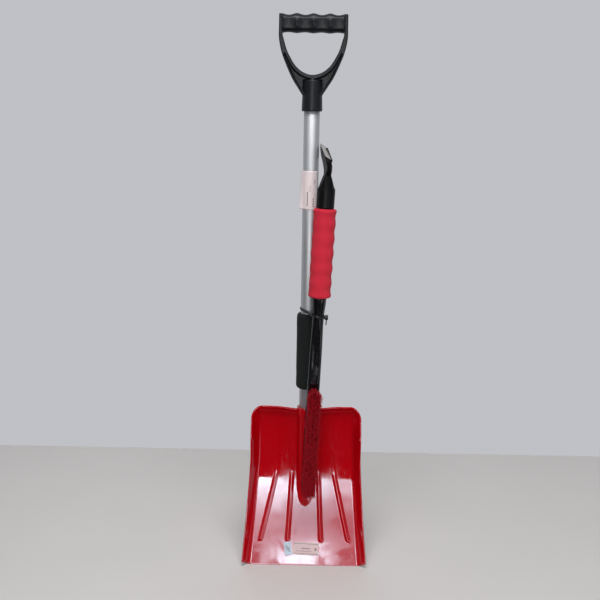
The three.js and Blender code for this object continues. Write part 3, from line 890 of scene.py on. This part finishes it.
def make_bristles():
    """Four rows of tufts, each row its own piece, of thin bent filaments."""
    pitch, spacing, per_tuft, tuft_radius, length, rooted = 5.4, 4.5, 36, 2.2, 41.5, 1.5
    for row in range(4):
        x_row = (row - 1.5) * pitch
        top = BRISTLE_TOP - 4 - (5 if row in (0, 3) else 0)
        run = top - BRISTLE_LOW - 4
        tufts = int(run / spacing)
        filaments = []
        for k in range(tufts + 1):
            lean = random.gauss(0, 0.02)
            end = 0.08 * (math.exp(-k / 1.5) - math.exp(-(tufts - k) / 1.5))
            for _ in range(per_tuft):
                a, r = random.random() * TAU, tuft_radius * math.sqrt(random.random())
                base = Vector((x_row + r * math.cos(a), rooted - BRISTLE_FACE,
                               top - k * run / tufts + r * math.sin(a)))
                fan = Vector((x_row * 0.007 + lean + random.gauss(0, 0.04), -1, end + random.gauss(0, 0.05)))
                fan *= length + rooted - 0.9 * abs(random.gauss(0, 1))
                bend = Vector((random.gauss(0, 1.0), 0, random.gauss(0, 1.0)))
                filaments.append(filament(base, fan, bend, random.random() * TAU))
        tuft_row = add_object(f"bristle_tufts_{row + 1}", *combine(*filaments), place=HEAD)
        settle(tuft_row, BRISTLE_RED, "brush", "bristle_red", f"bristle_row_{row + 1}")


SCRAPER_SECTIONS = [  # height, half width, near and far y, middle's x at y = -50 and at y = 50
    (16, 17, -17, 17, 0, 0), (30, 11.5, -14.5, 14.5, 0, 0), (45, 5.8, -13, 11, 0, 0),
    (54, 5.4, -26, 11, -1.5, 0), (62, 5.4, -43, 12, -4.5, -1), (70, 5.6, -50, 16, -7.5, -1.5),
    (78, 5.6, -50, 30, -9.5, -2.5), (90, 5.6, -50, 48, -9.8, -3.5), (106, 5.6, -50, 50, -10, -3.8)]
SCRAPER_SOCKET = [(0.01, -17), (16.4, -17), (17, -16.2), (17, 18), (15.6, 21), (0.01, 21)]
SCRAPER_BEVEL = [(-40, 24), (-14, 2.4), (0, -4.8), (40, -4.8)]  # x, and height over the plate's edge there


def scraper_edge(y):
    """Height of the plate's slanting edge."""
    return 78 + (y + 50) * 0.24


def make_scraper():
    """The ice scraper: round socket, faceted shoulder, then a plate that leans over to a bevelled edge."""
    rings, sides = [], 56
    table = np.array(SCRAPER_SECTIONS, float)
    for z in np.linspace(16, 106, 76):
        half, near, far, x_near, x_far = (np.interp(z, table[:, 0], table[:, k]) for k in range(1, 6))
        power = 2 / (2 + 6 * smooth(z, 18, 60))
        ring = []
        for j in range(sides):
            across, along = squared(TAU * j / sides, power)
            y = (near + far) / 2 + along * (far - near) / 2
            middle = x_near + (x_far - x_near) * (y + 50) / 100
            ring.append((middle + across * half, y, z))
        rings.append(ring)
    scraper = add_object("ice_scraper", *combine(skin(rings), turned(SCRAPER_SOCKET)), place=BRUSH)
    fuse(scraper, 0.6, 2)
    above = [[(x, y, scraper_edge(y) + rise) for y in (-80, 80)] + [(x, 80, 200), (x, -80, 200)]
             for x, rise in SCRAPER_BEVEL]
    cut(scraper, skin(above), BRUSH)
    teeth = []
    for i in range(8):
        y = -46 + i * 10.5
        teeth.append(block((-3.7 + 0.059 * (y + 50), y, scraper_edge(y) - 5.6), (4.2, 5.0, 5.6)))
    join(scraper, combine(*teeth), BRUSH)
    cut(scraper, turned([(HANDLE_BORE + 0.05, -30), (HANDLE_BORE + 0.05, 10.3)], 64), BRUSH)
    settle(scraper, SCRAPER_BLACK, "brush", "tool_black", "scraper_head")
    scraper.data.materials.append(EDGE_HIGHLIGHT_GREY)
    # The plate's upward-facing top faces get the light grey painted highlight.
    to_brush = BRUSH.inverted()
    for face in scraper.data.polygons:
        height = (to_brush @ (face.center / MM)).z
        if height > 70 and (to_brush.to_3x3() @ face.normal).z > 0.75:
            face.material_index = 1
            face.use_smooth = False
    return scraper


# ------------------------------------------------------------------ cable tie

TIE_Z, TIE_SLOPE = -523.4, math.tan(math.radians(12))
STRAP_HALF, STRAP_THICK, STRAP_EDGE = 2.4, 1.3, 0.4
BRUSH_LOOP_R = 12.3


def belt(first, second, centre, count):
    """Points and outward normals of a band round two circles, the second about centre (x, y)."""
    distance = math.hypot(*centre)
    turn = math.atan2(centre[1], centre[0])
    lean = math.acos((first - second) / distance)
    path = []
    for radius, middle, low, high in ((first, (0, 0), lean, TAU - lean), (second, centre, -lean, lean)):
        for i in range(count + 1):
            a = turn + low + (high - low) * i / count
            normal = (math.cos(a), math.sin(a))
            path.append(((middle[0] + radius * normal[0], middle[1] + radius * normal[1]), normal))
    filled = []
    for (p, n), (q, m) in zip(path, path[1:] + path[:1]):
        gap = math.dist(p, q)
        steps = max(1, int(gap / 2.5))
        for k in range(steps):
            f = k / steps
            filled.append(((p[0] + (q[0] - p[0]) * f, p[1] + (q[1] - p[1]) * f),
                           (n[0] + (m[0] - n[0]) * f, n[1] + (m[1] - n[1]) * f)))
    return filled


def make_tie():
    """The tie: a strap round the shaft and the brush, its locking head on the right and its cut tail."""
    waist = BRUSH_TOP.lerp(BRUSH_LOW, (TIE_Z - 6 - BRUSH_TOP.z) / (BRUSH_LOW.z - BRUSH_TOP.z))
    flat = STRAP_HALF - STRAP_EDGE
    section = [(0, -STRAP_HALF), (STRAP_THICK - STRAP_EDGE, -STRAP_HALF), (STRAP_THICK, -flat),
               (STRAP_THICK, flat), (STRAP_THICK - STRAP_EDGE, STRAP_HALF), (0, STRAP_HALF)]
    strap = []
    for (x, y), (nx, ny) in belt(TUBE_R + 0.2, BRUSH_LOOP_R, (waist.x, waist.y), 26):
        strap.append([(x + nx * out, y + ny * out, TIE_Z - TIE_SLOPE * x + up) for out, up in section])
    x = waist.x + BRUSH_LOOP_R + 1.1
    z = TIE_Z - TIE_SLOPE * x
    lock = block((x + 3.0, waist.y, z), (6.6, 7.0, 8.6))
    tail = []
    for t in np.linspace(0, 1, 10):
        at = (x + 3.6 - 1.2 * t, waist.y - 0.6 * t, z - 3 - 12 * t)
        corners = ((-1.0, -STRAP_HALF), (1.0, -STRAP_HALF), (1.0, STRAP_HALF), (-1.0, STRAP_HALF))
        tail.append([(at[0] + a, at[1] + b, at[2]) for a, b in corners])
    tie = add_object("nylon_tie", *combine(skin(strap, closed_path=True), lock, skin(tail)))
    bevel = tie.modifiers.new("edges", "BEVEL")
    bevel.width = 0.35 * MM
    bevel.segments = 2
    bevel.limit_method = "ANGLE"
    bevel.angle_limit = math.radians(50)
    apply_modifiers(tie)
    return settle(tie, TIE_BLACK, "tie", "tie_black", "cable_tie")


# ------------------------------------------------------------------ stage, light, camera


def make_stage():
    """A pale floor just under the blade's tip, a plain pale world and the light tent."""
    low = CAD_BOX[0].z / MM - 0.5
    left, right, near, far = -3000, 3000, -1330, 476
    corners = [(left, near, low), (right, near, low), (right, far, low), (left, far, low)]
    floor = add_object("floor", corners, [[0, 1, 2, 3]])
    s = Surface("pale_floor", (0.59, 0.57, 0.56), 0.6)
    s.colour(s.noise(3, 3), (0.57, 0.55, 0.535), (0.62, 0.60, 0.585))
    floor.data.materials.append(s.material)
    floor.visible_glossy = False
    world = bpy.data.worlds.new("studio")
    bpy.context.scene.world = world
    world.use_nodes = True
    world.node_tree.nodes["Background"].inputs["Color"].default_value = (0.525, 0.53, 0.56, 1)
    make_tent()


def make_tent():
    """A light tent that the camera doesn't see: pale behind, dark in front, a window low on the right."""
    turns = [math.pi * i / 24 for i in range(25)]
    globe = turned([(1000 * math.sin(a) + 0.01, -1000 * math.cos(a)) for a in turns], 48)
    tent = add_object("light_tent", *globe)
    tent.scale = (12, 12, 12)
    tent.visible_camera = False
    material = bpy.data.materials.new("tent_glow")
    tent.data.materials.append(material)
    g = Graph(material)
    g.nodes.remove(g.nodes["Principled BSDF"])
    glow = g.nodes.new("ShaderNodeEmission")
    g.links.new(glow.outputs["Emission"], g.nodes["Material Output"].inputs["Surface"])
    x, y, z = g.axes(g.nodes.new("ShaderNodeTexCoord").outputs["Object"])
    across = g.math("MULTIPLY", g.eased(x, 0.42, 0.56), g.eased(x, 0.86, 0.72))
    upright = g.math("MULTIPLY", g.eased(z, -0.37, -0.30), g.eased(z, -0.02, -0.1))
    window = g.mixed(g.math("MULTIPLY", across, upright), (0.02, 0.02, 0.022), (2.6, 2.7, 2.9))
    front = g.mixed(g.eased(z, -0.10, 0.12), window, (0.16, 0.165, 0.175))
    behind = g.eased(g.math("ADD", y, g.ranged(z, -0.02, 0.22, 0.0, -0.55)), -0.45, 0.25)
    g.links.new(g.mixed(behind, front, (0.60, 0.61, 0.64)), glow.inputs["Color"])


def add_light(name, at, target, size, power):
    """A rectangular area light that the camera doesn't see."""
    data = bpy.data.lights.new(name, "AREA")
    data.shape = "RECTANGLE"
    data.size, data.size_y = size
    data.energy = power
    light = bpy.data.objects.new(name, data)
    bpy.context.scene.collection.objects.link(light)
    light.location = at
    light.rotation_mode = "QUATERNION"
    light.rotation_quaternion = (Vector(target) - Vector(at)).to_track_quat("-Z", "Y")
    light.visible_camera = False
    return light


def grade_panel(light):
    """Grades a panel's brightness up its height and, differently low down and high up, across its width."""
    g = Graph(light.data)
    place = g.nodes.new("ShaderNodeNewGeometry").outputs["Parametric"]
    across, up, _ = g.axes(place)
    height = g.ramp(up, ((0, 1.0), (0.10, 0.9), (0.28, 0.44), (0.42, 0.27), (0.60, 0.27), (0.78, 0.6),
                         (1, 0.95)))
    low = g.ramp(across, ((0, 1.0), (0.38, 1.0), (0.56, 0.75), (0.74, 0.42), (1, 0.42)))
    high = g.ramp(across, ((0, 0.03), (0.30, 0.05), (0.46, 1.0), (0.61, 1.0), (0.73, 0.10), (1, 0.05)))
    width = g.mixed(g.eased(up, 0.42, 0.78), low, high)
    cloud = g.nodes.new("ShaderNodeTexNoise")
    cloud.inputs["Scale"].default_value = 5.5
    cloud.inputs["Detail"].default_value = 2.0
    g.links.new(place, cloud.inputs["Vector"])
    patchy = g.ranged(cloud.outputs["Fac"], 0.35, 0.65, 0.7, 1.25)
    g.links.new(height, g.nodes["Emission"].inputs["Color"])
    g.links.new(g.math("MULTIPLY", width, patchy), g.nodes["Emission"].inputs["Strength"])


def make_camera():
    """The camera, low and in front, looking a little down."""
    data = bpy.data.cameras.new("camera")
    data.sensor_width = 36
    data.lens = 45.8
    camera = bpy.data.objects.new("camera", data)
    bpy.context.scene.collection.objects.link(camera)
    bpy.context.scene.camera = camera
    pitch, yaw, roll = (math.radians(a) for a in (13.58, -0.43, 0.93))
    camera.location = (-0.0056, -1.4735, -0.1477)
    level = math.cos(pitch)
    forward = Vector((math.sin(yaw) * level, math.cos(yaw) * level, -math.sin(pitch)))
    camera.rotation_mode = "QUATERNION"
    rolled = Matrix.Rotation(roll, 3, "Z").to_quaternion()
    camera.rotation_quaternion = forward.to_track_quat("-Z", "Y") @ rolled


# ------------------------------------------------------------------ the whole object

bpy.context.scene.view_settings.view_transform = "Standard"
make_stage()
make_camera()
grade_panel(add_light("front_panel", (-0.05, -2.9, -0.145), (-0.05, 0, -0.145), (1.25, 1.49), 106))
add_light("ceiling", (0.0, -0.9, 1.5), (0, -0.1, -0.9), (1.6, 1.0), 50)

make_blade()
make_grip()
make_tube()
make_shaft_foam()
make_label()
sticker_marks = [(0.04, 0.97, 0.10, 0.13), (0.04, 0.97, 0.88, 0.905), (0.84, 0.90, 0.42, 0.60)]
sticker_marks += dashes(6, (0.34, 0.38, 0.44, 0.52), (0.055, 0.055, 0, 0))
sticker_marks += dashes(7, (0.12, 0.17, 0.68, 0.73), (0.09, 0.09, 0, 0))
make_sticker("tip_sticker", "blade_sticker", STICKER_PAPER, "paper", (54, 22), (4, -1018), 2, sticker_marks)
patch_marks = dashes(3, (0.12, 0.34, 0.28, 0.34), (0.2, 0.2, 0.1, 0.1))
patch_marks += dashes(3, (0.22, 0.44, 0.49, 0.55), (0.2, 0.2, 0.1, 0.1))
make_sticker("tip_sticker_patch", "blade_sticker_patch", PATCH_BLUE, "patch_blue", (15, 24), (-33, -1018), -8,
             patch_marks)
make_screw("grip_screw", "d_grip_screw", "shovel", 19)
make_screw("socket_screw_upper", "blade_screw_upper", "shovel", SOCKET_R)
make_screw("socket_screw_lower", "blade_screw_lower", "shovel", SOCKET_R)
make_brush_foam()
make_brush_head()
make_bristles()
make_scraper()
make_screw("scraper_socket_screw", "scraper_screw", "brush", 17, BRUSH)
make_tie()
settle(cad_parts["brush_handle_tube"], ALUMINIUM, "brush", "shaft_aluminium")
